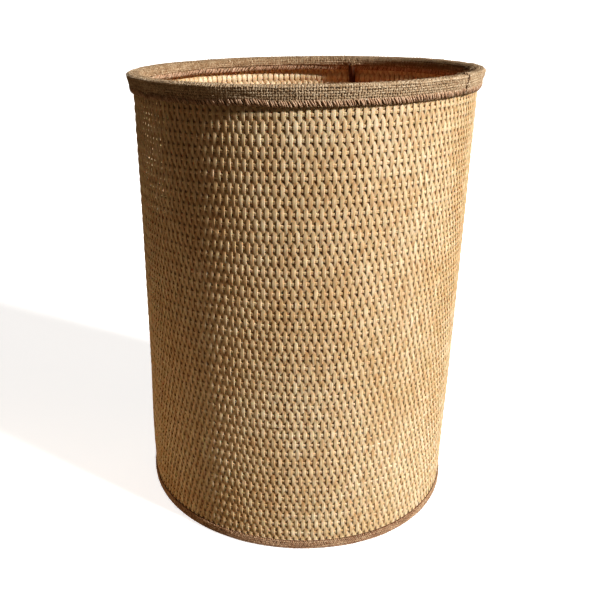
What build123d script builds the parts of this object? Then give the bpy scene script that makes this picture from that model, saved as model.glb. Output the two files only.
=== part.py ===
from build123d import *
from math import cos, radians, sin
import os

# Woven cane wastebasket, open at the top. Millimetres, +Z up.
# The origin is the centre of the underside, so the basket stands on Z = 0.
# A sheet of close-woven cane is rolled into a cylinder round the edge of a plywood disc.
# Its two ends meet in a seam at the back (+Y), turned a little towards +X.
# Two bent hoops stiffen the mouth, one on each side of the wall, under a folded hessian tape.
# A second hessian tape is folded under the bottom edge and covers the tacks in the disc.

# Overall size
HEIGHT = 330.0
RIM_DIAMETER = 254.0

# Hessian tapes
RIM_TAPE = 1.1
RIM_OUTSIDE_DEPTH = 13.0
RIM_INSIDE_DEPTH = 11.4
RIM_BEND_RADIUS = 2.3
INSIDE_STEP = 1.2
FOOT_TAPE = 1.0
FOOT_TAPE_RISE = 8.2
FOOT_TAPE_TUCK = 17.0
FOOT_BEND_RADIUS = 1.3

# Bent hoops
HOOP_THICKNESS = 2.9
OUTER_HOOP_HEIGHT = 9.4
INNER_HOOP_HEIGHT = 6.0
FOOT_HOOP_HEIGHT = 8.0
HOOP_EDGE_RADIUS = 1.2
SCARF_LENGTH = 24.0
SCARF_GAP = 0.3
SCARF_SLOPE = 17.0
OUTER_SCARF_BEARING = 210.0
INNER_SCARF_BEARING = 30.0
FOOT_SCARF_BEARING = 120.0

# Woven wall and its seam
WALL_THICKNESS = 3.6
SEAM_BEARING = 70.0
SEAM_GAP = 0.6
BATTEN_WIDTH = 5.0
BATTEN_THICKNESS = 1.5
BATTEN_CLEARANCE = 0.5
STITCH_THICKNESS = 0.6
STITCH_WIDTH = 1.2
STITCH_COUNT = 8

# Base disc
BASE_THICKNESS = 5.0
BASE_CHAMFER = 0.5

# Tacks
TACK_RADIUS = 0.6
TACK_HEAD_RADIUS = 1.5
TACK_HEAD_THICKNESS = 0.5
RIM_TACK_COUNT = 12
RIM_TACK_LENGTH = 9.0
BASE_TACK_COUNT = 16
BASE_TACK_LENGTH = 15.0

# Radii and heights worked out from the sizes above
rim_radius = RIM_DIAMETER / 2
outer_hoop_radius = rim_radius - RIM_TAPE
wall_radius = outer_hoop_radius - HOOP_THICKNESS
wall_bore = wall_radius - WALL_THICKNESS
batten_bore = wall_bore - BATTEN_THICKNESS
inner_hoop_bore = wall_bore - HOOP_THICKNESS
mouth_radius = inner_hoop_bore - RIM_TAPE
foot_radius = wall_radius + FOOT_TAPE
hoop_top = HEIGHT - RIM_TAPE
outer_hoop_bottom = hoop_top - OUTER_HOOP_HEIGHT
inner_hoop_bottom = hoop_top - INNER_HOOP_HEIGHT
outside_hem = HEIGHT - RIM_OUTSIDE_DEPTH
inside_hem = HEIGHT - RIM_INSIDE_DEPTH
base_top = FOOT_TAPE + BASE_THICKNESS
foot_hoop_top = base_top + FOOT_HOOP_HEIGHT
batten_bottom = foot_hoop_top + BATTEN_CLEARANCE
batten_top = inside_hem - BATTEN_CLEARANCE


def level_plane(bearing, height):
    """A level plane whose X axis points out from the basket's axis along a bearing."""
    outward = (cos(radians(bearing)), sin(radians(bearing)), 0)
    return Plane(origin=(0, 0, height), x_dir=outward)


def upright_plane(bearing, radius, height):
    """A plane facing out from the basket's axis along a bearing, at a radius and a height."""
    outward = Vector(cos(radians(bearing)), sin(radians(bearing)), 0)
    return Plane(origin=outward * radius + Vector(0, 0, height), x_dir=(0, 0, 1), z_dir=outward)


def add_tacks(count, radius, height, length):
    """Add a ring of radial tacks. Their flat heads are flush with a cylinder of the given radius."""
    for index in range(count):
        bearing = (index + 0.5) * 360 / count
        with BuildSketch(upright_plane(bearing, radius, height)) as head:
            Circle(TACK_HEAD_RADIUS)
        extrude(head.sketch, amount=-TACK_HEAD_THICKNESS)
        with BuildSketch(upright_plane(bearing, radius - TACK_HEAD_THICKNESS, height)) as shank:
            Circle(TACK_RADIUS)
        extrude(shank.sketch, amount=TACK_HEAD_THICKNESS - length)
    with BuildSketch(Plane.XY.offset(height - 2 * TACK_HEAD_RADIUS)) as surface:
        Circle(radius)
    extrude(surface.sketch, amount=4 * TACK_HEAD_RADIUS, mode=Mode.INTERSECT)


def cut_scarf(bearing, bore, bottom, top):
    """Cut the slanting gap where the two ends of a bent hoop meet."""
    with BuildSketch(level_plane(bearing, bottom)) as scarf:
        with Locations((bore + HOOP_THICKNESS / 2, 0)):
            Rectangle(SCARF_GAP, SCARF_LENGTH, rotation=-SCARF_SLOPE)
    extrude(scarf.sketch, amount=top - bottom, mode=Mode.SUBTRACT)


# Tacks that clamp the two rim hoops to the wall, with their heads sunk in the outer hoop
with BuildPart() as rim_tacks:
    add_tacks(RIM_TACK_COUNT, outer_hoop_radius, (outer_hoop_bottom + hoop_top) / 2, RIM_TACK_LENGTH)

# Tacks through the wall into the edge of the base disc, hidden by the foot tape
with BuildPart() as base_tacks:
    add_tacks(BASE_TACK_COUNT, wall_radius, FOOT_TAPE + BASE_THICKNESS / 2, BASE_TACK_LENGTH)

# Cane stitches down the seam, each a flat loop round the batten, through the wall and over the seam
with BuildPart() as seam_stitches:
    stitch_pitch = (batten_top - batten_bottom) / STITCH_COUNT
    loop_depth = wall_radius - batten_bore
    for index in range(STITCH_COUNT):
        with BuildSketch(level_plane(SEAM_BEARING, batten_bottom + (index + 0.5) * stitch_pitch)):
            with Locations(((wall_radius + batten_bore) / 2, 0)):
                Rectangle(loop_depth + 2 * STITCH_THICKNESS, BATTEN_WIDTH + 2 * STITCH_THICKNESS)
                Rectangle(loop_depth, BATTEN_WIDTH, mode=Mode.SUBTRACT)
        extrude(amount=STITCH_WIDTH / 2, both=True)

# Dark splint inside the seam, which the stitches pull against the wall
with BuildPart() as seam_batten:
    with BuildSketch(level_plane(SEAM_BEARING, batten_bottom)):
        Circle(wall_bore)
        Circle(batten_bore, mode=Mode.SUBTRACT)
        with Locations((wall_bore, 0)):
            Rectangle(4 * BATTEN_THICKNESS, BATTEN_WIDTH, mode=Mode.INTERSECT)
    extrude(amount=batten_top - batten_bottom)
    add(seam_stitches.part, mode=Mode.SUBTRACT)

# The rolled sheet of woven cane, as one closed shell with a butt seam
with BuildPart() as woven_wall:
    with BuildSketch(level_plane(SEAM_BEARING, FOOT_TAPE)):
        Circle(wall_radius)
        Circle(wall_bore, mode=Mode.SUBTRACT)
        with Locations((wall_radius, 0)):
            Rectangle(4 * WALL_THICKNESS, SEAM_GAP, mode=Mode.SUBTRACT)
    extrude(amount=hoop_top - FOOT_TAPE)
    add(seam_stitches.part, mode=Mode.SUBTRACT)
    add(rim_tacks.part, mode=Mode.SUBTRACT)
    add(base_tacks.part, mode=Mode.SUBTRACT)

# Bent hoop outside the mouth
with BuildPart() as rim_hoop_outer:
    with BuildSketch(Plane.XY.offset(outer_hoop_bottom)):
        Circle(outer_hoop_radius)
        Circle(wall_radius, mode=Mode.SUBTRACT)
    extrude(amount=OUTER_HOOP_HEIGHT)
    outer_top_edge = edges().filter_by(GeomType.CIRCLE).group_by(Axis.Z)[-1].sort_by(SortBy.RADIUS)[-1]
    fillet(outer_top_edge, radius=HOOP_EDGE_RADIUS)
    cut_scarf(OUTER_SCARF_BEARING, wall_radius, outer_hoop_bottom, hoop_top)
    add(rim_tacks.part, mode=Mode.SUBTRACT)

# Bent hoop inside the mouth
with BuildPart() as rim_hoop_inner:
    with BuildSketch(Plane.XY.offset(inner_hoop_bottom)):
        Circle(wall_bore)
        Circle(inner_hoop_bore, mode=Mode.SUBTRACT)
    extrude(amount=INNER_HOOP_HEIGHT)
    inner_top_edge = edges().filter_by(GeomType.CIRCLE).group_by(Axis.Z)[-1].sort_by(SortBy.RADIUS)[0]
    fillet(inner_top_edge, radius=HOOP_EDGE_RADIUS)
    cut_scarf(INNER_SCARF_BEARING, inner_hoop_bore, inner_hoop_bottom, hoop_top)
    add(rim_tacks.part, mode=Mode.SUBTRACT)

# Hessian tape folded over the mouth. It wraps both hoops, and its hems lie flat on the wall.
with BuildPart() as rim_binding:
    with BuildSketch(Plane.XZ):
        with BuildLine():
            Polyline(
                (wall_radius, outside_hem),
                (wall_radius + RIM_TAPE, outside_hem),
                (rim_radius, outer_hoop_bottom),
                (rim_radius, HEIGHT),
                (mouth_radius, HEIGHT),
                (mouth_radius, inner_hoop_bottom - RIM_TAPE / 2),
                (wall_bore - RIM_TAPE, inner_hoop_bottom - RIM_TAPE / 2 - INSIDE_STEP),
                (wall_bore - RIM_TAPE, inside_hem),
                (wall_bore, inside_hem),
                (wall_bore, inner_hoop_bottom - INSIDE_STEP),
                (inner_hoop_bore, inner_hoop_bottom),
                (inner_hoop_bore, hoop_top),
                (outer_hoop_radius, hoop_top),
                (outer_hoop_radius, outer_hoop_bottom),
                (wall_radius, outside_hem + RIM_TAPE / 2),
                close=True,
            )
        make_face()
        fillet(vertices().group_by(Axis.Y)[-1], radius=RIM_BEND_RADIUS)
        fillet(vertices().group_by(Axis.Y)[-2], radius=HOOP_EDGE_RADIUS)
    revolve(axis=Axis.Z)

# Plywood disc that the wall is tacked round
with BuildPart() as base_disc:
    with BuildSketch(Plane.XY.offset(FOOT_TAPE)):
        Circle(wall_bore)
    extrude(amount=BASE_THICKNESS)
    chamfer(edges().filter_by(GeomType.CIRCLE).group_by(Axis.Z)[-1], length=BASE_CHAMFER)
    add(base_tacks.part, mode=Mode.SUBTRACT)

# Bent hoop glued inside the wall on top of the disc
with BuildPart() as foot_hoop:
    with BuildSketch(Plane.XY.offset(base_top)):
        Circle(wall_bore)
        Circle(inner_hoop_bore, mode=Mode.SUBTRACT)
    extrude(amount=FOOT_HOOP_HEIGHT)
    foot_top_edge = edges().filter_by(GeomType.CIRCLE).group_by(Axis.Z)[-1].sort_by(SortBy.RADIUS)[0]
    fillet(foot_top_edge, radius=HOOP_EDGE_RADIUS)
    cut_scarf(FOOT_SCARF_BEARING, inner_hoop_bore, base_top, foot_hoop_top)

# Hessian tape round the bottom edge, folded under it. The basket rests on its underside.
with BuildPart() as foot_binding:
    with BuildSketch(Plane.XZ):
        with BuildLine():
            Polyline(
                (wall_radius, FOOT_TAPE_RISE),
                (foot_radius, FOOT_TAPE_RISE),
                (foot_radius, 0),
                (foot_radius - FOOT_TAPE_TUCK, 0),
                (foot_radius - FOOT_TAPE_TUCK, FOOT_TAPE),
                (wall_radius, FOOT_TAPE),
                close=True,
            )
        make_face()
        fillet(vertices().group_by(Axis.Y)[0].sort_by(Axis.X)[-1], radius=FOOT_BEND_RADIUS)
    revolve(axis=Axis.Z)

nodes = {
    "woven_wall": woven_wall,
    "seam_batten": seam_batten,
    "seam_stitches": seam_stitches,
    "rim_hoop_outer": rim_hoop_outer,
    "rim_hoop_inner": rim_hoop_inner,
    "rim_tacks": rim_tacks,
    "rim_binding": rim_binding,
    "base_disc": base_disc,
    "base_tacks": base_tacks,
    "foot_hoop": foot_hoop,
    "foot_binding": foot_binding,
}
os.makedirs("parts", exist_ok=True)
for name, builder in nodes.items():
    builder.part.label = name
    export_step(builder.part, f"parts/{name}.step")
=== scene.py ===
"""Looks of the woven cane wastebasket, built round its CAD model. Metres, +Z up, front towards -Y.

The cane strands and wefts and the hessian yarns of both tapes are modelled one by one. They and the splint
replace the plain CAD solids of the wall, the tapes and the batten. One function, handmade(), gives them all
the same small lean and unevenness. The rim hoops and the tacks are rebuilt too, to move with the wall. The
disc, the foot hoop and the stitches are the CAD nodes, with procedural materials.
"""
import math

import bpy
import numpy as np
from mathutils import Matrix, Vector


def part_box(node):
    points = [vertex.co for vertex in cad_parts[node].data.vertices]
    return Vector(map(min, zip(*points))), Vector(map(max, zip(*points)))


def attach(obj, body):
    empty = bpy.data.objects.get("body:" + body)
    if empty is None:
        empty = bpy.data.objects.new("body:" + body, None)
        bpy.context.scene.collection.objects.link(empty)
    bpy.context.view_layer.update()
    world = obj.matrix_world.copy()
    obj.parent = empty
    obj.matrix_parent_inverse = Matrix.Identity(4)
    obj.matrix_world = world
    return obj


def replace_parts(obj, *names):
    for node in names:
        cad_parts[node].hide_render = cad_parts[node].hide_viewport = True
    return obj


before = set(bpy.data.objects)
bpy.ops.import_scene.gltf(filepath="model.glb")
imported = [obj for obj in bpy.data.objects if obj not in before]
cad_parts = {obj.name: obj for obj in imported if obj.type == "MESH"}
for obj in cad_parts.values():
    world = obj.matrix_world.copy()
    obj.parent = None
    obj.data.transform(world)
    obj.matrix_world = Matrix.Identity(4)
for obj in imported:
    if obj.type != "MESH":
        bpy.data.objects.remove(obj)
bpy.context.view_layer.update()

MM = 0.001
TURN = 2 * math.pi
UP = np.array([0.0, 0.0, 1.0])
random = np.random.default_rng(28)


def extent(node):
    """Smallest and largest radius about Z, and lowest and highest Z, of a CAD node."""
    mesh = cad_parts[node].data
    points = np.empty(3 * len(mesh.vertices), np.float32)
    mesh.vertices.foreach_get("co", points)
    points = points.reshape(-1, 3)
    radius = np.hypot(points[:, 0], points[:, 1])
    return radius.min(), radius.max(), points[:, 2].min(), points[:, 2].max()


# ---- sizes from the frame ----
WALL_BORE, WALL_RADIUS, WALL_BOTTOM, WALL_TOP = extent("woven_wall")
MOUTH_RADIUS, RIM_RADIUS, RIM_HEM, HEIGHT = extent("rim_binding")
_, OUTER_HOOP_RADIUS, OUTER_HOOP_BOTTOM, HOOP_TOP = extent("rim_hoop_outer")
INNER_HOOP_BORE, _, INNER_HOOP_BOTTOM, _ = extent("rim_hoop_inner")
FOOT_TUCK_RADIUS, FOOT_RADIUS, _, FOOT_TOP = extent("foot_binding")
SPLINT_BORE, _, SPLINT_BOTTOM, _ = extent("seam_batten")
RIM_TAPE = RIM_RADIUS - OUTER_HOOP_RADIUS
splint_low, splint_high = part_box("seam_batten")
splint_middle = (splint_low + splint_high) / 2
SEAM = math.atan2(splint_middle.y, splint_middle.x)

# ---- weave ----
STRANDS = 318                      # upright strands, an even number so that the weave closes
ROW_PITCH = 7.466 * MM
FIRST_ROW = 6.6 * MM
ROWS = 43
STATIONS = 5                       # points along a strand from one row to the next
STRAND_PIECES = 6
WEFT_PIECES = 3
SEAM_GAP = 1.2 * MM
STRAND_DEPTH = 0.37 * MM           # half the thickness of a strand
STRAND_WIDE = 1.52 * MM            # half its width where it lies outside a weft
STRAND_BACK = 2.32 * MM            # and where it lies inside one
STRAND_WAIST = 1.24 * MM           # and where it crosses the wall
STRAND_SWING = 0.50 * MM           # how far a strand swings out
STRAND_SWING_BACK = 0.95 * MM      # and in
WEFT_HEIGHT = 1.28 * MM            # half the height of a weft
WEFT_DEPTH = 0.48 * MM
WEFT_WAVE = 0.31 * MM

# ---- unevenness ----
LEAN = 0.0299                      # rise of the rim to the right, per metre across
SWELL = 1.2 * MM                   # the left side stands out near the foot
PINCH = 0.6 * MM                   # and in above the middle
FOOT_OUT = 1.8 * MM                # the foot stands out at the front right
FOOT_IN = 1.4 * MM                 # and in at the right
WALL_WAVE = 0.25 * MM              # slow waves in the wall
ROW_WAVE = 0.3 * MM                # and up and down along the rows


def linear(code):
    """A colour given as RRGGBB in sRGB, as linear red, green, blue and alpha."""
    levels = [int(code[i:i + 2], 16) / 255 for i in (0, 2, 4)]
    return [x / 12.92 if x <= 0.04045 else ((x + 0.055) / 1.055) ** 2.4 for x in levels] + [1.0]


def bell(value, centre, width):
    return np.exp(-((value - centre) / width) ** 2)


def handmade(points):
    """Moves points of the true cylinder to where they are on the slightly uneven basket."""
    x, y, z = points[..., 0], points[..., 1], points[..., 2]
    bearing = np.arctan2(y, x)
    radius = np.hypot(x, y)
    share = np.clip(z / HEIGHT, 0, 1)
    left = np.clip(-np.cos(bearing), 0, 1) ** 2
    out = left * (SWELL * bell(share, 0.14, 0.13) - PINCH * bell(share, 0.68, 0.18))
    foot = FOOT_OUT * bell(bearing, -0.95, 0.5) - FOOT_IN * bell(bearing, 0.1, 0.4)
    out += bell(share, 0.0, 0.2) * foot
    out += WALL_WAVE * np.sin(3 * bearing + 5 * share) * np.sin(math.pi * share)
    wave = ROW_WAVE * np.sin(5 * bearing + 11 * share) * np.sin(math.pi * share)
    wave += 0.5 * ROW_WAVE * np.sin(13 * bearing - 17 * share) * np.sin(math.pi * share)
    grown = (radius + out) / np.maximum(radius, 1e-6)
    return np.stack([x * grown, y * grown, z + LEAN * x * share + wave], -1)


def ring_frame(bearing):
    """Outward and sideways unit vectors at bearings about Z. Sideways is anticlockwise seen from above."""
    zero = np.zeros_like(bearing)
    out = np.stack([np.cos(bearing), np.sin(bearing), zero], -1)
    along = np.stack([-np.sin(bearing), np.cos(bearing), zero], -1)
    return out, along


def smooth_noise(shape, reach, seed):
    """Random values of about unit size that vary smoothly along the last axis and wrap round it."""
    made = np.random.default_rng(seed).normal(size=shape)
    waves = np.fft.rfft(made, axis=-1)
    falloff = np.exp(-(np.arange(waves.shape[-1]) * reach / shape[-1]) ** 2)
    made = np.fft.irfft(waves * falloff, n=shape[-1], axis=-1)
    return made / (made.std() + 1e-9)


# ---- meshes ----
def section(sides, flat=1.0):
    """Points of a rounded strand section, anticlockwise, in units of its half width and half depth."""
    angle = TURN * (np.arange(sides) + 0.5) / sides
    x, y = np.cos(angle), np.sin(angle)
    return np.stack([np.sign(x) * np.abs(x) ** flat, np.sign(y) * np.abs(y) ** flat], -1)


# Two round canes side by side
TWIN = np.array([(1.0, 0.0), (0.52, 1.0), (0.0, 0.72), (-0.52, 1.0),
                 (-1.0, 0.0), (-0.52, -1.0), (0.0, -0.72), (0.52, -1.0)])
GRAIN_STEP = 7.3                   # how far one strand's grain is from the next one's
STRIP_MARGIN = 0.04                # empty edge of a strand's strip of the map
STRIP_END = 0.01                   # and its empty ends
CAP_CORNER = 0.002                 # the spot in the map that the cut ends take


def strands(name, path, across, out, half_width, half_depth, outline, tone, folds=1, closed=False):
    """One mesh of many strands, moved to where they are on the uneven basket. path is (strands, stations, 3).
    across and out broadcast to it, and half_width, half_depth and tone to (strands, stations). Each strand
    has its own strip of the OFBake map, cut into folds if it is long."""
    count, stations = path.shape[:2]
    sides = len(outline)
    across = np.broadcast_to(across, path.shape)
    out = np.broadcast_to(out, path.shape)
    wide = np.broadcast_to(half_width, (count, stations))[..., None] * outline[:, 0]
    deep = np.broadcast_to(half_depth, (count, stations))[..., None] * outline[:, 1]
    points = path[:, :, None] + across[:, :, None] * wide[..., None] + out[:, :, None] * deep[..., None]
    points = handmade(points)
    steps = np.linalg.norm(np.diff(path, axis=1), axis=2)
    length = np.concatenate([np.zeros((count, 1)), np.cumsum(steps, axis=1)], axis=1)
    grain = np.empty(points.shape)
    grain[..., 0] = wide / MM
    grain[..., 1] = length[..., None] / MM
    grain[..., 2] = deep / MM + GRAIN_STEP * np.arange(count)[:, None, None]

    index = np.arange(points.size // 3).reshape(count, stations, sides)
    turned = np.roll(index, -1, axis=2)
    if closed:
        near, far = slice(None), np.roll(np.arange(stations), -1)
    else:
        near, far = slice(0, -1), slice(1, None)
    quads = np.stack([index[:, near], turned[:, near], turned[:, far], index[:, far]], -1)
    segments = quads.shape[1]
    fold_length = math.ceil(segments / folds)
    station = np.arange(segments)
    strip = np.arange(count)[:, None] * folds + station // fold_length
    low = (station % fold_length) / fold_length
    corner = np.arange(sides)
    u = np.empty(quads.shape)
    v = np.empty(quads.shape)
    for turn, (side_step, station_step) in enumerate(((0, 0), (1, 0), (1, 1), (0, 1))):
        over = STRIP_MARGIN + (1 - 2 * STRIP_MARGIN) * (corner + side_step) / sides
        u[..., turn] = (strip[..., None] + over) / (count * folds)
        v[..., turn] = STRIP_END + (1 - 2 * STRIP_END) * (low[None, :, None] + station_step / fold_length)
    forward = np.cross(across[:, 0], out[:, 0]) * (path[:, 1] - path[:, 0])
    flip = forward.sum() < 0
    loops = quads.reshape(-1, 4)
    uv = np.stack([u, v], -1).reshape(-1, 4, 2)
    if flip:
        loops, uv = loops[:, ::-1], uv[:, ::-1]
    loops, uv = loops.reshape(-1), uv.reshape(-1, 2)
    starts = np.arange(0, len(loops), 4)
    if not closed:
        first, last = index[:, 0, ::-1], index[:, -1]
        if flip:
            first, last = first[:, ::-1], last[:, ::-1]
        caps = np.concatenate([first, last]).reshape(-1)
        starts = np.concatenate([starts, len(loops) + np.arange(0, len(caps), sides)])
        loops = np.concatenate([loops, caps])
        uv = np.concatenate([uv, np.full((len(caps), 2), CAP_CORNER)])

    mesh = bpy.data.meshes.new(name)
    mesh.vertices.add(points.size // 3)
    mesh.vertices.foreach_set("co", points.astype(np.float32).reshape(-1))
    mesh.loops.add(len(loops))
    mesh.loops.foreach_set("vertex_index", loops.astype(np.int32))
    mesh.polygons.add(len(starts))
    mesh.polygons.foreach_set("loop_start", starts.astype(np.int32))
    mesh.update(calc_edges=True)
    layer = mesh.uv_layers.new(name="OFBake")
    layer.uv.foreach_set("vector", uv.astype(np.float32).reshape(-1))
    mark = mesh.attributes.new("grain", "FLOAT_VECTOR", "POINT")
    mark.data.foreach_set("vector", grain.astype(np.float32).reshape(-1))
    mark = mesh.attributes.new("tone", "FLOAT", "POINT")
    spread = np.repeat(np.broadcast_to(tone, (count, stations))[..., None], sides, axis=2)
    mark.data.foreach_set("value", spread.astype(np.float32).reshape(-1))
    mesh.shade_smooth()
    return mesh


def place(name, mesh, finish):
    """Puts a mesh in the scene as a piece of the basket."""
    piece = bpy.data.objects.new(name, mesh)
    bpy.context.scene.collection.objects.link(piece)
    mesh.materials.append(finish)
    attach(piece, "root")
    return piece


# ---- materials ----
def new_material(name):
    made = bpy.data.materials.new(name)
    made.use_nodes = True
    return made, made.node_tree, made.node_tree.nodes["Principled BSDF"]


def add(tree, kind, links=(), **settings):
    """A node with its settings, and its inputs linked to sockets or set to values."""
    made = tree.nodes.new(kind)
    for key, value in settings.items():
        setattr(made, key, value)
    for key, value in dict(links).items():
        if isinstance(value, bpy.types.NodeSocket):
            tree.links.new(value, made.inputs[key])
        else:
            made.inputs[key].default_value = value
    return made


def ramp(tree, factor, stops):
    """A colour ramp with (position, colour) stops."""
    made = add(tree, "ShaderNodeValToRGB", {"Fac": factor})
    marks = made.color_ramp.elements
    while len(marks) < len(stops):
        marks.new(0.5)
    for mark, (position, code) in zip(marks, stops):
        mark.position = position
        mark.color = linear(code)
    return made.outputs["Color"]


def stretched(tree, source, scale):
    """Coordinates scaled along each axis."""
    made = add(tree, "ShaderNodeMapping", {"Vector": source, "Scale": scale})
    return made.outputs["Vector"]


def noise(tree, coordinates, scale, detail=3.0):
    made = add(tree, "ShaderNodeTexNoise", {"Vector": coordinates, "Scale": scale, "Detail": detail})
    return made.outputs["Fac"]


def between(tree, value, low, high):
    """A 0 to 1 value mapped to low to high."""
    made = add(tree, "ShaderNodeMapRange", {"Value": value, "To Min": low, "To Max": high})
    return made.outputs["Result"]


def mixed(tree, blend, factor, first, second):
    made = add(tree, "ShaderNodeMix", data_type="RGBA", blend_type=blend)
    for socket, value in ((0, factor), (6, first), (7, second)):
        if isinstance(value, bpy.types.NodeSocket):
            tree.links.new(value, made.inputs[socket])
        else:
            made.inputs[socket].default_value = value
    return made.outputs[2]


def finish_shader(tree, shader, colour, roughness, height, bump_distance, bump_strength):
    tree.links.new(colour, shader.inputs["Base Color"])
    tree.links.new(roughness, shader.inputs["Roughness"])
    bump = add(tree, "ShaderNodeBump",
               {"Height": height, "Distance": bump_distance, "Strength": bump_strength})
    tree.links.new(bump.outputs["Normal"], shader.inputs["Normal"])


def cane_material(name, stops, gloss):
    """Split cane: a tone for each strand, long fibres, soft stains and a waxy skin. On the upright strands
    the tone also carries painted shade where they cross the wall.
    """
    made, tree, shader = new_material(name)
    tone = add(tree, "ShaderNodeAttribute", attribute_name="tone").outputs["Fac"]
    grain = add(tree, "ShaderNodeAttribute", attribute_name="grain").outputs["Vector"]
    where = add(tree, "ShaderNodeTexCoord").outputs["Object"]
    fibres = noise(tree, stretched(tree, grain, (3.2, 0.10, 3.2)), 1.0, 4.0)
    patches = noise(tree, stretched(tree, grain, (0.3, 0.14, 0.3)), 1.0, 2.0)
    stains = noise(tree, where, 14.0, 3.0)
    colour = ramp(tree, tone, stops)
    colour = mixed(tree, "MULTIPLY", 1.0, colour, ramp(tree, fibres, ((0.30, "CDBEA8"), (0.62, "FFFFFF"))))
    colour = mixed(tree, "MULTIPLY", 0.6, colour, ramp(tree, patches, ((0.32, "DCC09C"), (0.60, "FFFFFF"))))
    colour = mixed(tree, "MULTIPLY", 0.5, colour, ramp(tree, stains, ((0.35, "EAD8BC"), (0.60, "FFFFFF"))))
    rough = between(tree, fibres, gloss, gloss + 0.28)
    finish_shader(tree, shader, colour, rough, fibres, 0.12 * MM, 0.6)
    shader.inputs["Specular IOR Level"].default_value = 0.42
    shader.inputs["Subsurface Weight"].default_value = 0.15
    shader.inputs["Subsurface Radius"].default_value = (1.0, 0.36, 0.15)
    shader.inputs["Subsurface Scale"].default_value = 0.8 * MM
    return made


def hessian_material(name, stops):
    """Jute yarn: twisted coarse fibres with a tone for each yarn."""
    made, tree, shader = new_material(name)
    tone = add(tree, "ShaderNodeAttribute", attribute_name="tone").outputs["Fac"]
    grain = add(tree, "ShaderNodeAttribute", attribute_name="grain").outputs["Vector"]
    twist = add(tree, "ShaderNodeVectorRotate", {"Vector": grain, "Angle": math.radians(38)},
                rotation_type="Z_AXIS").outputs["Vector"]
    fibres = noise(tree, stretched(tree, twist, (5.0, 0.8, 4.0)), 1.0, 3.0)
    patches = noise(tree, grain, 0.35, 2.0)
    colour = ramp(tree, tone, stops)
    colour = mixed(tree, "MULTIPLY", 1.0, colour, ramp(tree, fibres, ((0.34, "C4B098"), (0.58, "FFFFFF"))))
    colour = mixed(tree, "MULTIPLY", 0.7, colour, ramp(tree, patches, ((0.30, "C7A98C"), (0.62, "FFFFFF"))))
    finish_shader(tree, shader, colour, between(tree, fibres, 0.95, 0.75), fibres, 0.15 * MM, 0.4)
    shader.inputs["Specular IOR Level"].default_value = 0.2
    return made


def wood_material(name, dark, light, stretch, roughness):
    """Plain wood for the disc, hoops and splint, with its grain along the axis of least stretch."""
    made, tree, shader = new_material(name)
    where = add(tree, "ShaderNodeTexCoord").outputs["Object"]
    figure = noise(tree, stretched(tree, where, stretch), 1.0, 5.0)
    speckle = noise(tree, where, 900.0, 2.0)
    colour = ramp(tree, figure, ((0.34, dark), (0.64, light)))
    colour = mixed(tree, "MULTIPLY", 0.35, colour, ramp(tree, speckle, ((0.35, "B79C80"), (0.6, "FFFFFF"))))
    rough = between(tree, figure, roughness, roughness + 0.2)
    finish_shader(tree, shader, colour, rough, figure, 0.15 * MM, 0.5)
    shader.inputs["Specular IOR Level"].default_value = 0.2
    return made


def steel_material():
    made, tree, shader = new_material("tack_steel")
    where = add(tree, "ShaderNodeTexCoord").outputs["Object"]
    marks = noise(tree, where, 2500.0, 3.0)
    colour = ramp(tree, marks, ((0.35, "6E6A64"), (0.65, "A8A49C")))
    finish_shader(tree, shader, colour, between(tree, marks, 0.3, 0.5), marks, 0.02 * MM, 0.3)
    shader.inputs["Metallic"].default_value = 1.0
    return made


# The dark low end of the strand ramp is mostly reached at the crossings, where the tone is lowered as painted
# shade.
cane = cane_material("cane_strand", ((0.0, "A67A48"), (0.32, "D2BC98"), (0.62, "E0D0B0"), (1.0, "EDE2C8")),
                     0.42)
weft_cane = cane_material("cane_weft", ((0.0, "D4C09C"), (0.5, "E0CEAC"), (1.0, "ECDCBE")), 0.34)
jute = hessian_material("hessian_rim", ((0.0, "A08C70"), (0.5, "CCBCA2"), (1.0, "DACDB6")))
hem_jute = hessian_material("hessian_hem", ((0.0, "BEA28A"), (0.5, "D2B8A0"), (1.0, "E0CAB4")))
foot_jute = hessian_material("hessian_foot", ((0.0, "A08068"), (0.5, "C2A68A"), (1.0, "DCC6AA")))
# The ground material is darker than the yarns: painted shade in the holes of the rim tape's weave.
jute_shade = hessian_material("hessian_ground_painted_shade", ((0.0, "9A805E"), (1.0, "AC9270")))
# Painted shade in the holes of the foot tape's weave; the same dark colour is also the lap stitches' own
# thread colour.
foot_shade_and_thread = hessian_material("hessian_foot_ground_shade_and_thread", ((0.0, "6A4B36"), (1.0, "7C5C43")))
splint_wood = wood_material("seam_splint", "4A2C1A", "6E462C", (900, 900, 22), 0.8)
rattan = wood_material("hoop_rattan", "A88052", "D0A973", (420, 420, 420), 0.4)
plywood = wood_material("plywood", "A88255", "CBA877", (22, 420, 300), 0.5)
steel = steel_material()


# ---- woven wall ----
wall_middle = WALL_RADIUS - STRAND_SWING - STRAND_DEPTH - 0.05 * MM
seam_angle = SEAM_GAP / wall_middle
strand_angle = (TURN - seam_angle) / STRANDS


def strand_bearing(number):
    return SEAM + seam_angle / 2 + (number + 0.5) * strand_angle


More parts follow.
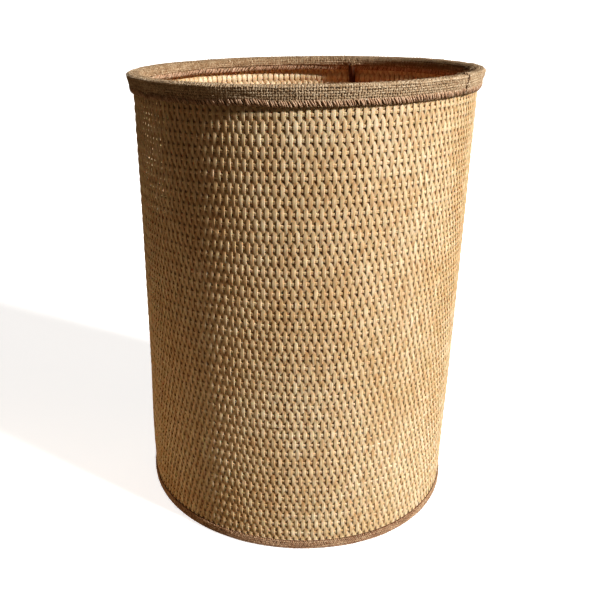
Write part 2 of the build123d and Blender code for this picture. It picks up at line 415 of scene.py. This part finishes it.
def make_strands():
    """The upright strands. Each goes outside one weft and inside the next. Its neighbours do the opposite."""
    lowest = math.ceil((WALL_BOTTOM + 0.6 * MM - FIRST_ROW) / ROW_PITCH * STATIONS)
    highest = math.floor((WALL_TOP - 0.4 * MM - FIRST_ROW) / ROW_PITCH * STATIONS)
    row = np.arange(lowest, highest + 1) / STATIONS
    number = np.arange(STRANDS)
    side = np.cos(math.pi * (row[None, :] + number[:, None]))
    side = side * (1.0 + 0.14 * (1.0 - side ** 2))
    height = np.broadcast_to(FIRST_ROW + row * ROW_PITCH, side.shape)

    width = 1.0 + 0.04 * random.normal(size=(STRANDS, 1)) + 0.025 * smooth_noise(side.shape, 3.0, 1)
    outside, inside = np.clip(side, 0, 1), np.clip(-side, 0, 1)
    half_width = STRAND_WAIST + (STRAND_WIDE - STRAND_WAIST) * outside
    half_width = half_width + (STRAND_BACK - STRAND_WAIST) * inside
    half_width = half_width * np.clip(width, 0.84, 1.14)
    half_depth = STRAND_DEPTH * (1.0 + 0.08 * smooth_noise(side.shape, 6.0, 2))

    wander = 0.05 * MM * smooth_noise(side.shape, 8.0, 3) / wall_middle
    bearing = strand_bearing(number)[:, None] + wander
    out, along = ring_frame(bearing)
    outward = STRAND_SWING * side
    inward = outward + (STRAND_SWING_BACK - STRAND_SWING) * side ** 3
    radius = wall_middle + np.where(side > 0, outward, inward) + 0.03 * MM * smooth_noise(side.shape, 5.0, 4)
    path = out * radius[..., None]
    path[..., 2] = height
    turn = 0.05 * random.normal(size=(STRANDS, 1)) + 0.04 * smooth_noise(side.shape, 5.0, 5)
    across = along * np.cos(turn)[..., None] + out * np.sin(turn)[..., None]
    facing = out * np.cos(turn)[..., None] - along * np.sin(turn)[..., None]
    tone = 0.68 + 0.07 * random.normal(size=(STRANDS, 1)) + 0.06 * smooth_noise(side.shape, 12.0, 6)
    # Painted shade: each strand's tone is lowered where it crosses the wall between its outside and inside
    # runs, in the gaps between its neighbours.
    tone = tone - 0.36 * bell(side, 0.0, 0.45)
    outline = section(8, 0.58)
    for piece in range(STRAND_PIECES):
        part = slice(piece * STRANDS // STRAND_PIECES, (piece + 1) * STRANDS // STRAND_PIECES)
        mesh = strands(f"cane_strands_{piece + 1}", path[part], across[part], facing[part], half_width[part],
                       half_depth[part], outline, np.clip(tone[part], 0, 1))
        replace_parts(place(mesh.name, mesh, cane), "woven_wall")


def make_wefts():
    """The level wefts, each a pair of thin round canes side by side, with their ends at the seam."""
    number = np.arange(2 * STRANDS + 1) / 2 - 0.5
    bearing = np.broadcast_to(strand_bearing(number), (ROWS, len(number)))
    row = np.arange(ROWS)[:, None]
    side = np.cos(math.pi * (number[None, :] + row))
    out, _ = ring_frame(bearing)
    path = out * (wall_middle - WEFT_WAVE * side)[..., None]
    path[..., 2] = FIRST_ROW + row * ROW_PITCH + 0.10 * MM * smooth_noise(side.shape, 14.0, 7)
    uneven = 1.0 + 0.05 * random.normal(size=(ROWS, 1)) + 0.05 * smooth_noise(side.shape, 9.0, 8)
    half_height = WEFT_HEIGHT * uneven
    half_depth = WEFT_DEPTH * (1.0 + 0.08 * smooth_noise(side.shape, 6.0, 9))
    tone = 0.5 + 0.12 * random.normal(size=(ROWS, 1)) + 0.2 * smooth_noise(side.shape, 18.0, 10)
    for piece in range(WEFT_PIECES):
        part = slice(piece * ROWS // WEFT_PIECES, (piece + 1) * ROWS // WEFT_PIECES)
        mesh = strands(f"cane_wefts_{piece + 1}", path[part], UP, out[part], half_height[part],
                       half_depth[part], TWIN, np.clip(tone[part], 0, 1), folds=4)
        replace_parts(place(mesh.name, mesh, weft_cane), "woven_wall")


def make_wisps():
    """A few loose slivers of cane that lie across the strands. The first and longest is near the front."""
    made = np.random.default_rng(12)
    count = 24
    stations = 14
    first = made.uniform(0, TURN, (count, 1))
    height = made.uniform(0.1, 0.9, (count, 1)) * HEIGHT
    length = made.uniform(3, 8, (count, 1)) * MM
    slope = made.normal(0, 0.5, (count, 1))
    first[0] = math.radians(-100.5)
    height[0] = 102.6 * MM
    length[0] = 15 * MM
    slope[0] = 0.09
    share = np.linspace(0, 1, stations)[None, :]
    bearing = first + length * share / WALL_RADIUS
    out, _ = ring_frame(bearing)
    path = out * (WALL_RADIUS + 0.1 * MM + 0.5 * MM * np.sin(math.pi * share) ** 2)[..., None]
    path[..., 2] = height + slope * length * share
    size = 0.22 * MM * (1.0 - 0.8 * (2 * share - 1) ** 2)
    mesh = strands("cane_wisps", path, UP, out, size, 0.5 * size, section(6), 0.8)
    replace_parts(place("cane_wisps", mesh, weft_cane), "woven_wall")


make_strands()
make_wefts()
make_wisps()


# ---- hessian tapes ----
def rounded(corners, passes=3):
    """A polyline through (radius, height) corners with its corners cut and cut again."""
    line = np.array(corners, float)
    for _ in range(passes):
        inner = np.stack([0.75 * line[:-1] + 0.25 * line[1:], 0.25 * line[:-1] + 0.75 * line[1:]], 1)
        line = np.concatenate([line[:1], inner.reshape(-1, 2), line[-1:]])
    return line


class Tape:
    """A folded tape that follows a section line all the way round the basket. The corners are given on the
    cloth's shown face, which is on the right of the line. The line kept is in the middle of the cloth."""

    def __init__(self, corners, inset):
        line = rounded(corners)
        step = np.gradient(line, axis=0)
        step /= np.linalg.norm(step, axis=1)[:, None]
        self.face = np.stack([step[:, 1], -step[:, 0]], -1)
        self.line = line - inset * self.face
        lengths = np.linalg.norm(np.diff(self.line, axis=0), axis=1)
        self.distance = np.concatenate([[0.0], np.cumsum(lengths)])
        self.width = self.distance[-1]

    def at(self, bearing, along, lift):
        """Points and outward faces at a bearing, a distance along the section and a lift off the middle."""
        radius = np.interp(along, self.distance, self.line[:, 0])
        height = np.interp(along, self.distance, self.line[:, 1])
        face_out = np.interp(along, self.distance, self.face[:, 0])
        face_up = np.interp(along, self.distance, self.face[:, 1])
        size = np.hypot(face_out, face_up)
        face_out, face_up = face_out / size, face_up / size
        out, _ = ring_frame(bearing)
        face = out * face_out[..., None]
        face[..., 2] = face_up
        points = out * (radius + lift * face_out)[..., None]
        points[..., 2] = height + lift * face_up
        return points, face


def directions(path, face, closed):
    """Unit vectors across strands, at right angles to their paths and to the faces they lie on."""
    if closed:
        step = np.roll(path, -1, axis=1) - np.roll(path, 1, axis=1)
    else:
        step = np.gradient(path, axis=1)
    across = np.cross(face, step)
    across /= np.linalg.norm(across, axis=2)[..., None]
    out = np.cross(step, across)
    out /= np.linalg.norm(out, axis=2)[..., None]
    return across, out


YARN_FLATNESS = 0.66               # a yarn's depth as a share of its width
YARN_END = 0.35 * MM               # how far a cross yarn stops short of the cloth's edge


def weave_tape(tape, name, cross_count, ring_from, ring_to, ring_pitch, yarn, lift, lean, finish, seed,
               bulge, painted_shade):
    """The yarns of a tape in plain weave: ring yarns that run round the basket, and cross yarns from hem to
    hem. yarn is half a yarn's width and lift is how far it swings over and under. At each distance along the
    section, lean is how far round the yarns have moved, and the last argument is how much darker they are
    painted there, as painted shade. bulge lifts both sets."""
    ring_count = int((ring_to - ring_from) / ring_pitch) + 1
    ring_place = ring_from + (np.arange(ring_count) + 0.5) * (ring_to - ring_from) / ring_count
    cross = np.arange(cross_count)
    made = []

    # Ring yarns
    station = np.arange(2 * cross_count) / 2
    bearing = np.broadcast_to(TURN * station / cross_count, (ring_count, 2 * cross_count))
    along = ring_place[:, None] + 0.18 * MM * smooth_noise(bearing.shape, 24.0, seed)
    side = np.cos(math.pi * (station[None, :] + np.arange(ring_count)[:, None]))
    turned = bearing + lean(along) / wall_middle
    path, face = tape.at(turned, along, -lift * side + bulge(turned, along))
    across, out = directions(path, face, True)
    size = yarn * (1.0 + 0.14 * smooth_noise(bearing.shape, 16.0, seed + 1))
    # The tone is lowered along the section by the painted shade.
    tone = np.clip(0.5 + 0.22 * smooth_noise(bearing.shape, 30.0, seed + 2) - painted_shade(along), 0, 1)
    half = (ring_count + 1) // 2
    for number, part in enumerate((slice(0, half), slice(half, ring_count))):
        mesh = strands(f"{name}_round_{number + 1}", path[part], across[part], out[part], size[part],
                       YARN_FLATNESS * size[part], section(5), tone[part], folds=6, closed=True)
        made.append(place(mesh.name, mesh, finish))

    # Cross yarns
    ends = np.array([YARN_END, tape.width - YARN_END])
    inner = np.arange(2 * ring_count - 1) / 2
    along = np.interp(inner, np.arange(ring_count), ring_place)
    parity = np.concatenate([[-1.0], inner, [ring_count]])
    along = np.concatenate([ends[:1], along, ends[1:]])
    along = np.broadcast_to(along, (cross_count, len(along)))
    side = np.cos(math.pi * (parity[None, :] + cross[:, None]))
    drift = 0.24 * MM * smooth_noise((along.shape[1], cross_count), 3.0, seed + 3).T
    bearing = TURN * cross[:, None] / cross_count + (drift + lean(along)) / wall_middle
    path, face = tape.at(bearing, along, lift * side + bulge(bearing, along))
    across, out = directions(path, face, False)
    uneven = 1.0 + 0.12 * random.normal(size=(cross_count, 1))
    uneven = uneven + 0.08 * smooth_noise(along.shape, 4.0, seed + 4)
    size = yarn * np.clip(uneven, 0.7, 1.35)
    # The tone is lowered along the section by the painted shade.
    tone = np.clip(0.5 + 0.2 * random.normal(size=(cross_count, 1)) - painted_shade(along), 0, 1)
    for number in range(2):
        part = slice(number * cross_count // 2, (number + 1) * cross_count // 2)
        mesh = strands(f"{name}_cross_{number + 1}", path[part], across[part], out[part], size[part],
                       YARN_FLATNESS * size[part], section(5), tone[part])
        made.append(place(mesh.name, mesh, finish))
    return made


def tape_ground(tape, name, finish, node, lift, bulge, around=480, steps=34):
    """The cloth itself behind its modelled yarns, as one thin sheet. Its colour is darker than the yarns, as
    painted shade in the holes between them.
    """
    bearing = np.broadcast_to(TURN * np.arange(around) / around, (steps, around))
    along = np.broadcast_to(np.linspace(0, tape.width, steps)[:, None], (steps, around))
    points, _ = tape.at(bearing, along, lift + bulge(bearing, along))
    points = handmade(points)
    index = np.arange(steps * around).reshape(steps, around)
    turned = np.roll(index, -1, axis=1)
    loops = np.stack([index[:-1], index[1:], turned[1:], turned[:-1]], -1).reshape(-1)
    column, row = np.arange(around), np.arange(steps - 1)
    u = np.stack([column, column, column + 1, column + 1], -1) / around
    v = np.stack([row, row + 1, row + 1, row], -1) / (steps - 1)
    uv = np.stack(np.broadcast_arrays(u[None], v[:, None]), -1)
    mesh = bpy.data.meshes.new(name)
    mesh.vertices.add(points.size // 3)
    mesh.vertices.foreach_set("co", points.astype(np.float32).reshape(-1))
    mesh.loops.add(len(loops))
    mesh.loops.foreach_set("vertex_index", loops.astype(np.int32))
    mesh.polygons.add(len(loops) // 4)
    mesh.polygons.foreach_set("loop_start", np.arange(0, len(loops), 4, dtype=np.int32))
    mesh.update(calc_edges=True)
    layer = mesh.uv_layers.new(name="OFBake")
    layer.uv.foreach_set("vector", uv.astype(np.float32).reshape(-1))
    grain = np.stack([bearing * wall_middle / MM, along / MM, 0 * along], -1)
    mark = mesh.attributes.new("grain", "FLOAT_VECTOR", "POINT")
    mark.data.foreach_set("vector", grain.astype(np.float32).reshape(-1))
    mark = mesh.attributes.new("tone", "FLOAT", "POINT")
    mark.data.foreach_set("value", np.full(steps * around, 0.5, np.float32))
    mesh.shade_smooth()
    piece = place(name, mesh, finish)
    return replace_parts(piece, node)


def overcast(tape, name, count, start, end, reach, yarn, finish, seed, lift):
    """Slanting yarns along a hem. Each goes from start to end along the section, and reach round the rim."""
    made = np.random.default_rng(seed)
    share = np.linspace(0, 1, 6)[None, :]
    along = start + (end - start) * share + 0.12 * MM * made.normal(size=(count, 1))
    along = along + 0.3 * MM * smooth_noise((1, count), 14.0, seed + 5).T
    bearing = TURN * (np.arange(count)[:, None] + 0.18 * made.normal(size=(count, 1))) / count
    slant = reach * (1.0 + 0.22 * made.normal(size=(count, 1)))
    bearing = bearing + slant * share / wall_middle
    rise = lift * np.sin(math.pi * np.clip(share, 0.04, 0.96)) ** 0.6
    path, face = tape.at(bearing, np.clip(along, 0, tape.width), rise)
    across, out = directions(path, face, False)
    size = yarn * np.clip(1.0 + 0.2 * made.normal(size=(count, 1)), 0.6, 1.5)
    size = size * (0.7 + 0.3 * np.sin(math.pi * share))
    tone = np.clip(0.5 + 0.25 * made.normal(size=(count, 1)), 0, 1)
    mesh = strands(name, path, across, out, size, 0.8 * size, section(6), tone)
    return place(name, mesh, finish)


def still(bearing, along):
    """No bulge anywhere."""
    return 0.0 * along


def evenly(along):
    """No yarn darker than the rest."""
    return 0.0 * along


LAP = math.radians(-36)            # bearing of the rim tape's outer end
LAP_LENGTH = 16 * MM
LAP_LIFT = 0.6 * MM                # how far the tape's end stands off its start
SAG_AT = 26 * MM                   # how far along the section the fold sags over the seam splint
SAG = 1.3 * MM


def rim_bulge(bearing, along):
    """The tape's end lies over its start, and the fold sags a little over the seam splint."""
    past = (np.mod(bearing - LAP + math.pi, TURN) - math.pi) * wall_middle
    ramp_in = np.clip(past / (0.8 * MM), 0, 1)
    ramp_out = np.clip((LAP_LENGTH - past) / LAP_LENGTH, 0, 1)
    lap = LAP_LIFT * ramp_in * ramp_out ** 0.7
    from_seam = (np.mod(bearing - SEAM + math.pi, TURN) - math.pi) * wall_middle
    sag = SAG * bell(from_seam, 0.0, 4 * MM) * bell(along, SAG_AT, 3.5 * MM)
    lumps = 0.10 * MM * np.sin(9 * bearing + 2.0) + 0.08 * MM * np.sin(31 * bearing + 800 * along)
    return lap + sag + lumps


rim_tape = Tape((
    (WALL_RADIUS + RIM_TAPE, RIM_HEM),
    (WALL_RADIUS + RIM_TAPE + 0.5 * MM, RIM_HEM + 0.5 * MM),
    (RIM_RADIUS - 2.1 * MM, OUTER_HOOP_BOTTOM - 0.4 * MM),
    (RIM_RADIUS - 1.9 * MM, OUTER_HOOP_BOTTOM + 1.0 * MM),
    (RIM_RADIUS - 0.2 * MM, HEIGHT - 2.6 * MM),
    (RIM_RADIUS, HEIGHT - 1.2 * MM),
    (RIM_RADIUS - 0.9 * MM, HEIGHT - 0.2 * MM),
    (RIM_RADIUS - 2.8 * MM, HEIGHT),
    (MOUTH_RADIUS + 5.0 * MM, HEIGHT),
    (MOUTH_RADIUS + 2.3 * MM, HEIGHT - 1.0 * MM),
    (MOUTH_RADIUS + 0.5 * MM, HEIGHT - 3.0 * MM),
    (MOUTH_RADIUS, HEIGHT - 5.5 * MM),
    (MOUTH_RADIUS, INNER_HOOP_BOTTOM + 0.6 * MM),
    (MOUTH_RADIUS + 1.3 * MM, INNER_HOOP_BOTTOM - 0.4 * MM),
    (MOUTH_RADIUS + 1.9 * MM, RIM_HEM + 1.9 * MM),
), RIM_TAPE / 2)

HEM = 3.0 * MM                     # the edge of the cloth that the overcast yarns cover
HEM_YARN = 0.56 * MM
HEM_REACH = 2.6 * MM               # how far round an overcast yarn goes
RIM_CROSS_YARNS = 476
RIM_YARN = 0.71 * MM
RIM_YARN_PITCH = 1.62 * MM
RIM_YARN_LIFT = 0.27 * MM


def rim_lean(along):
    """Near both hems the cross yarns are pulled askew."""
    outside = np.clip(1.0 - along / HEM, 0, 1)
    inside = np.clip(1.0 - (rim_tape.width - along) / HEM, 0, 1)
    return 1.2 * MM * (outside - inside)


def rim_painted_shade(along):
    """Painted shade: the tape's yarns are darker from its top to its hem inside, over the inner side of the
    rim.
    """
    return 0.42 * np.clip((along / rim_tape.width - 0.42) / 0.12, 0, 1)


def tape_fibres(tape, name, count, start, end, finish, bulge, seed):
    """Short loose jute fibres that stand off a tape, between start and end along its section."""
    made = np.random.default_rng(seed)
    share = np.linspace(0, 1, 6)[None, :]
    first = made.uniform(0, TURN, (count, 1))
    length = made.uniform(1.2, 4.5, (count, 1)) * MM
    heading = made.uniform(0, TURN, (count, 1)) + made.normal(0, 0.9, (count, 1)) * share
    along = np.clip(made.uniform(start, end, (count, 1)) + length * share * np.sin(heading), start, end)
    bearing = first + length * share * np.cos(heading) / wall_middle
    lift = 0.55 * MM + made.uniform(0.2, 1.2, (count, 1)) * MM * np.sin(2.4 * share)
    path, face = tape.at(bearing, along, lift + bulge(bearing, along))
    across, out = directions(path, face, False)
    size = made.uniform(0.05, 0.09, (count, 1)) * MM * (1.0 - 0.5 * share)
    tone = np.clip(made.normal(0.7, 0.2, (count, 1)), 0, 1)
    mesh = strands(name, path, across, out, size, size, section(4), tone)
    return place(name, mesh, finish)


def lap_stitches():
    """Dark thread stitches down the rim tape's outer end."""
    made = np.random.default_rng(64)
    middle = np.arange(3.0, 15.0, 1.7)[:, None] * MM
    count = len(middle)
    middle = middle + made.normal(0, 0.15, (count, 1)) * MM
    share = np.linspace(-0.5, 0.5, 5)[None, :]
    along = middle + 1.0 * MM * share
    bearing = LAP + (0.5 + 0.25 * made.normal(size=(count, 1)) + 0.5 * share) * MM / wall_middle
    lift = 0.55 * MM + 0.35 * MM * np.cos(math.pi * share)
    path, face = rim_tape.at(bearing, along, lift + rim_bulge(bearing, along))
    across, out = directions(path, face, False)
    thread = 0.22 * MM
    mesh = strands("rim_lap_stitches", path, across, out, thread, thread, section(6), 0.2)
    return place("rim_lap_stitches", mesh, foot_shade_and_thread)


ground = tape_ground(rim_tape, "rim_tape_cloth", jute_shade, "rim_binding", -0.02 * MM,
                     rim_bulge)
rim_yarns = weave_tape(rim_tape, "rim_tape", RIM_CROSS_YARNS, HEM, rim_tape.width - HEM, RIM_YARN_PITCH,
                       RIM_YARN, RIM_YARN_LIFT, rim_lean, jute, 40, rim_bulge, rim_painted_shade)
rim_yarns.append(overcast(rim_tape, "rim_hem_outside", 500, 4.4 * MM, 0.1 * MM, HEM_REACH, HEM_YARN, hem_jute,
                          60, 0.7 * MM))
rim_yarns.append(overcast(rim_tape, "rim_hem_inside", 430, rim_tape.width - 4.2 * MM,
                          rim_tape.width - 0.1 * MM, HEM_REACH, HEM_YARN, hem_jute, 61,
                          0.6 * MM))
rim_yarns.append(tape_fibres(rim_tape, "rim_fibres", 900, 0.0, rim_tape.width, jute, rim_bulge,
                             62))
rim_yarns.append(lap_stitches())

foot_tape = Tape((
    (FOOT_TUCK_RADIUS, 0.15 * MM),
    (FOOT_RADIUS - 2.4 * MM, 0.15 * MM),
    (FOOT_RADIUS - 0.7 * MM, 0.4 * MM),
    (FOOT_RADIUS, 1.6 * MM),
    (FOOT_RADIUS, FOOT_TOP - 1.0 * MM),
    (FOOT_RADIUS - 0.2 * MM, FOOT_TOP),
), 0.5 * MM)

FOOT_CROSS_YARNS = 560
FOOT_YARN = 0.46 * MM
FOOT_YARN_PITCH = 1.7 * MM
FOOT_YARN_LIFT = 0.24 * MM
FOOT_FIBRES = 7 * MM               # the loose fibres keep to this much of the tape's upper edge


def foot_lean(along):
    """Up the side the cross yarns slant."""
    return -0.55 * np.clip(along - (foot_tape.width - FOOT_TOP - 2 * MM), 0, None)


ground = tape_ground(foot_tape, "foot_tape_cloth", foot_shade_and_thread, "foot_binding", -0.35 * MM,
                     still)
foot_yarns = weave_tape(foot_tape, "foot_tape", FOOT_CROSS_YARNS, 0.8 * MM, foot_tape.width - 0.6 * MM,
                        FOOT_YARN_PITCH, FOOT_YARN, FOOT_YARN_LIFT, foot_lean, foot_jute, 80,
                        still, evenly)
foot_yarns.append(tape_fibres(foot_tape, "foot_fibres", 260, foot_tape.width - FOOT_FIBRES, foot_tape.width,
                              foot_jute, still, 82))


# ---- hoops, tacks and splint ----
OUTER_HOOP_THINNED = 2.0 * MM      # the tape leans in over the outer hoop, so it is thinner than the CAD's
INNER_HOOP_SUNK = 0.3 * MM         # how far the inner hoop is kept in under the tape
INNER_HOOP_LOWERED = 1.8 * MM      # and below the fold
RIM_TACKS = 12
RIM_TACK_SUNK = 2.0 * MM
RIM_TACK_LENGTH = 7.0 * MM
FOOT_TACKS = 16
FOOT_TACK_SUNK = 0.3 * MM
FOOT_TACK_LENGTH = 14.0 * MM
TACK_HEAD = 0.5 * MM               # thickness of a tack's head
TACK_HEAD_RADIUS = 1.5 * MM
TACK_RADIUS = 0.6 * MM


def make_hoop(name, inner, outer, bottom, top, node):
    """A flat rattan hoop that follows the unevenness of the wall."""
    bearing = TURN * np.arange(480)[None, :] / 480
    out, _ = ring_frame(bearing)
    path = out * ((inner + outer) / 2)
    path[..., 2] = (bottom + top) / 2
    mesh = strands(name, path, UP, out, (top - bottom) / 2, (outer - inner) / 2, section(12, 0.8), 0.5,
                   folds=2, closed=True)
    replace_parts(place(name, mesh, rattan), node)


make_hoop("hoop_outside", WALL_RADIUS, OUTER_HOOP_RADIUS - OUTER_HOOP_THINNED, OUTER_HOOP_BOTTOM, HOOP_TOP,
          "rim_hoop_outer")
make_hoop("hoop_inside", INNER_HOOP_BORE + INNER_HOOP_SUNK, WALL_BORE, INNER_HOOP_BOTTOM,
          HOOP_TOP - INNER_HOOP_LOWERED, "rim_hoop_inner")


def make_tacks(name, node, count, sunk, length):
    """A ring of steel tacks under a tape. They sit deeper than the CAD tacks, so the tape covers them."""
    _, reach, low, high = extent(node)
    depth = np.array([0.0, TACK_HEAD, TACK_HEAD, length])
    size = np.array([TACK_HEAD_RADIUS, TACK_HEAD_RADIUS, TACK_RADIUS, TACK_RADIUS])
    bearing = np.broadcast_to(TURN * (np.arange(count)[:, None] + 0.5) / count, (count, len(depth)))
    out, along = ring_frame(bearing)
    path = out * (reach - sunk - depth)[None, :, None]
    path[..., 2] = (low + high) / 2
    mesh = strands(name, path, along, UP, size, size, section(10), 0.5)
    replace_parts(place(name, mesh, steel), node)


make_tacks("tacks_in_rim", "rim_tacks", RIM_TACKS, RIM_TACK_SUNK, RIM_TACK_LENGTH)
make_tacks("tacks_in_foot", "base_tacks", FOOT_TACKS, FOOT_TACK_SUNK, FOOT_TACK_LENGTH)

SPLINT_WIDE = 2.3 * MM             # half its width
SPLINT_END = 6.5 * MM              # how far below the rim's top it ends
SPLINT_STEP_FROM = 6.0 * MM        # how far below the hem of the rim's tape it starts to come in
SPLINT_STEP_LENGTH = 11.0 * MM
SPLINT_PROUD = 0.9 * MM            # how far its top end stands proud of the tape


def make_splint():
    """The dark splint laced over the seam inside. Its top end comes out over the rim's tape."""
    height = np.linspace(SPLINT_BOTTOM, HEIGHT - SPLINT_END, 160)[None, :]
    bearing = SEAM + 0.35 * MM * smooth_noise(height.shape, 40.0, 90) / wall_middle
    out, along = ring_frame(bearing)
    thick = wall_middle - STRAND_SWING_BACK - SPLINT_BORE
    rise = np.clip((height - RIM_HEM + SPLINT_STEP_FROM) / SPLINT_STEP_LENGTH, 0, 1)
    step = (SPLINT_BORE - MOUTH_RADIUS + SPLINT_PROUD) * rise ** 2 * (3 - 2 * rise)
    path = out * (SPLINT_BORE + thick / 2 - step)[..., None]
    path[..., 2] = height
    wide = SPLINT_WIDE * (1.0 + 0.05 * smooth_noise(height.shape, 20.0, 91))
    mesh = strands("seam_splint", path, along, out, wide, thick / 2, section(12, 0.6), 0.5)
    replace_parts(place("seam_splint", mesh, splint_wood), "seam_batten")


make_splint()


# ---- CAD nodes that show as they are ----
for node, finish in (("base_disc", plywood), ("foot_hoop", rattan), ("seam_stitches", weft_cane)):
    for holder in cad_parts[node].material_slots:
        holder.material = finish


# ---- floor, light and camera ----
FLOOR_RADIUS = 8.0
FLOOR_FLAT = 3.0                   # radius of the level part
FLOOR_RISE = 4.0


def make_floor():
    """A plain pale floor that rises far away, so that it fills the view."""
    rings, around = 24, 96
    radius = FLOOR_RADIUS * np.linspace(0, 1, rings) ** 1.5
    rise = FLOOR_RISE * np.clip((radius - FLOOR_FLAT) / (FLOOR_RADIUS - FLOOR_FLAT), 0, 1) ** 2
    bearing = TURN * np.arange(around) / around
    points = np.stack([radius[:, None] * np.cos(bearing), radius[:, None] * np.sin(bearing),
                       np.broadcast_to(rise[:, None], (rings, around))], -1)
    index = np.arange(rings * around).reshape(rings, around)
    turned = np.roll(index, -1, axis=1)
    faces = np.stack([index[:-1], index[1:], turned[1:], turned[:-1]], -1).reshape(-1, 4)
    mesh = bpy.data.meshes.new("floor")
    mesh.from_pydata(points.reshape(-1, 3).tolist(), [], faces.tolist())
    mesh.shade_smooth()
    made, tree, shader = new_material("floor")
    where = add(tree, "ShaderNodeTexCoord").outputs["Object"]
    marks = noise(tree, where, 40.0, 2.0)
    finish_shader(tree, shader, ramp(tree, marks, ((0.3, "DDDCDA"), (0.7, "E1E0DE"))),
                  between(tree, marks, 0.85, 0.95), marks, 0.05 * MM, 0.1)
    shader.inputs["Emission Color"].default_value = (1.0, 1.0, 1.0, 1.0)
    shader.inputs["Emission Strength"].default_value = 0.7
    mesh.materials.append(made)
    floor = bpy.data.objects.new("floor", mesh)
    floor.visible_diffuse = False
    floor.visible_glossy = False
    bpy.context.scene.collection.objects.link(floor)


def add_lamp(name, turn, height, energy, angle, colour):
    """A far lamp, turned to the right of the view and raised by angles in degrees."""
    turn, height = math.radians(turn), math.radians(height)
    lamp = bpy.data.lights.new(name, "SUN")
    lamp.energy = energy
    lamp.angle = math.radians(angle)
    lamp.color = colour
    holder = bpy.data.objects.new(name, lamp)
    level = math.cos(height)
    towards = Vector((math.sin(turn) * level, -math.cos(turn) * level, math.sin(height)))
    holder.rotation_euler = towards.to_track_quat("Z", "Y").to_euler()
    bpy.context.scene.collection.objects.link(holder)


def add_near_lamp(name, kind, spot, energy, colour):
    """A small lamp beside or inside the basket that the camera doesn't see."""
    lamp = bpy.data.lights.new(name, kind)
    lamp.energy = energy
    lamp.color = colour
    holder = bpy.data.objects.new(name, lamp)
    holder.location = spot
    holder.visible_camera = False
    bpy.context.scene.collection.objects.link(holder)
    return lamp, holder


def make_light():
    """Soft studio lamps, and two small warm ones that stand for the warm light in the basket's shade."""
    add_lamp("key", 61, 31, 4.9, 7, (1.0, 0.99, 0.985))
    add_lamp("soft", 72, 8, 0.7, 60, (1.0, 0.80, 0.60))
    add_lamp("fill", -98, 8, 0.13, 25, (1.0, 0.66, 0.42))
    add_lamp("rear", 165, 8, 1.0, 30, (1.0, 0.84, 0.66))
    lamp, holder = add_near_lamp("bounce", "AREA", (-0.36, -0.20, 0.005), 0.56, (1.0, 0.72, 0.45))
    lamp.size = 0.2
    away = holder.location - Vector((0, 0, 0.02))
    holder.rotation_euler = away.to_track_quat("Z", "Y").to_euler()
    lamp, _ = add_near_lamp("glow", "POINT", (0.03, 0.02, 0.22), 0.08, (1.0, 0.22, 0.05))
    lamp.shadow_soft_size = 0.05
    world = bpy.data.worlds.new("studio")
    world.use_nodes = True
    sky = world.node_tree.nodes["Background"]
    sky.inputs["Color"].default_value = (1.0, 0.68, 0.44, 1.0)
    sky.inputs["Strength"].default_value = 0.05
    bpy.context.scene.world = world
    bpy.context.scene.view_settings.view_transform = "Standard"
    bpy.context.scene.view_settings.look = "Medium High Contrast"


# Fitted to the outlines of the rim and the foot in the photo
CAMERA_BACK = 1.6739               # in heights of the basket
CAMERA_UP = 1.1265
CAMERA_LENS = 43.747               # in mm, on a sensor 36 mm wide
CAMERA_TILT = 0.3848
CAMERA_ROLL = 0.0191
CAMERA_PAN = -0.0015


def make_camera():
    lens = bpy.data.cameras.new("camera")
    lens.sensor_width = 36.0
    lens.lens = CAMERA_LENS
    lens.clip_start = 0.01
    camera = bpy.data.objects.new("camera", lens)
    level = math.cos(CAMERA_TILT)
    forward = Vector((math.sin(CAMERA_PAN) * level, math.cos(CAMERA_PAN) * level, -math.sin(CAMERA_TILT)))
    right = Vector((math.cos(CAMERA_PAN), -math.sin(CAMERA_PAN), 0.0))
    up = right.cross(forward)
    across = right * math.cos(CAMERA_ROLL) + up * math.sin(CAMERA_ROLL)
    steep = up * math.cos(CAMERA_ROLL) - right * math.sin(CAMERA_ROLL)
    turn = Matrix((across, steep, -forward)).transposed().to_4x4()
    camera.matrix_world = Matrix.Translation((0.0, -CAMERA_BACK * HEIGHT, CAMERA_UP * HEIGHT)) @ turn
    bpy.context.scene.collection.objects.link(camera)
    bpy.context.scene.camera = camera


make_floor()
make_light()
make_camera()
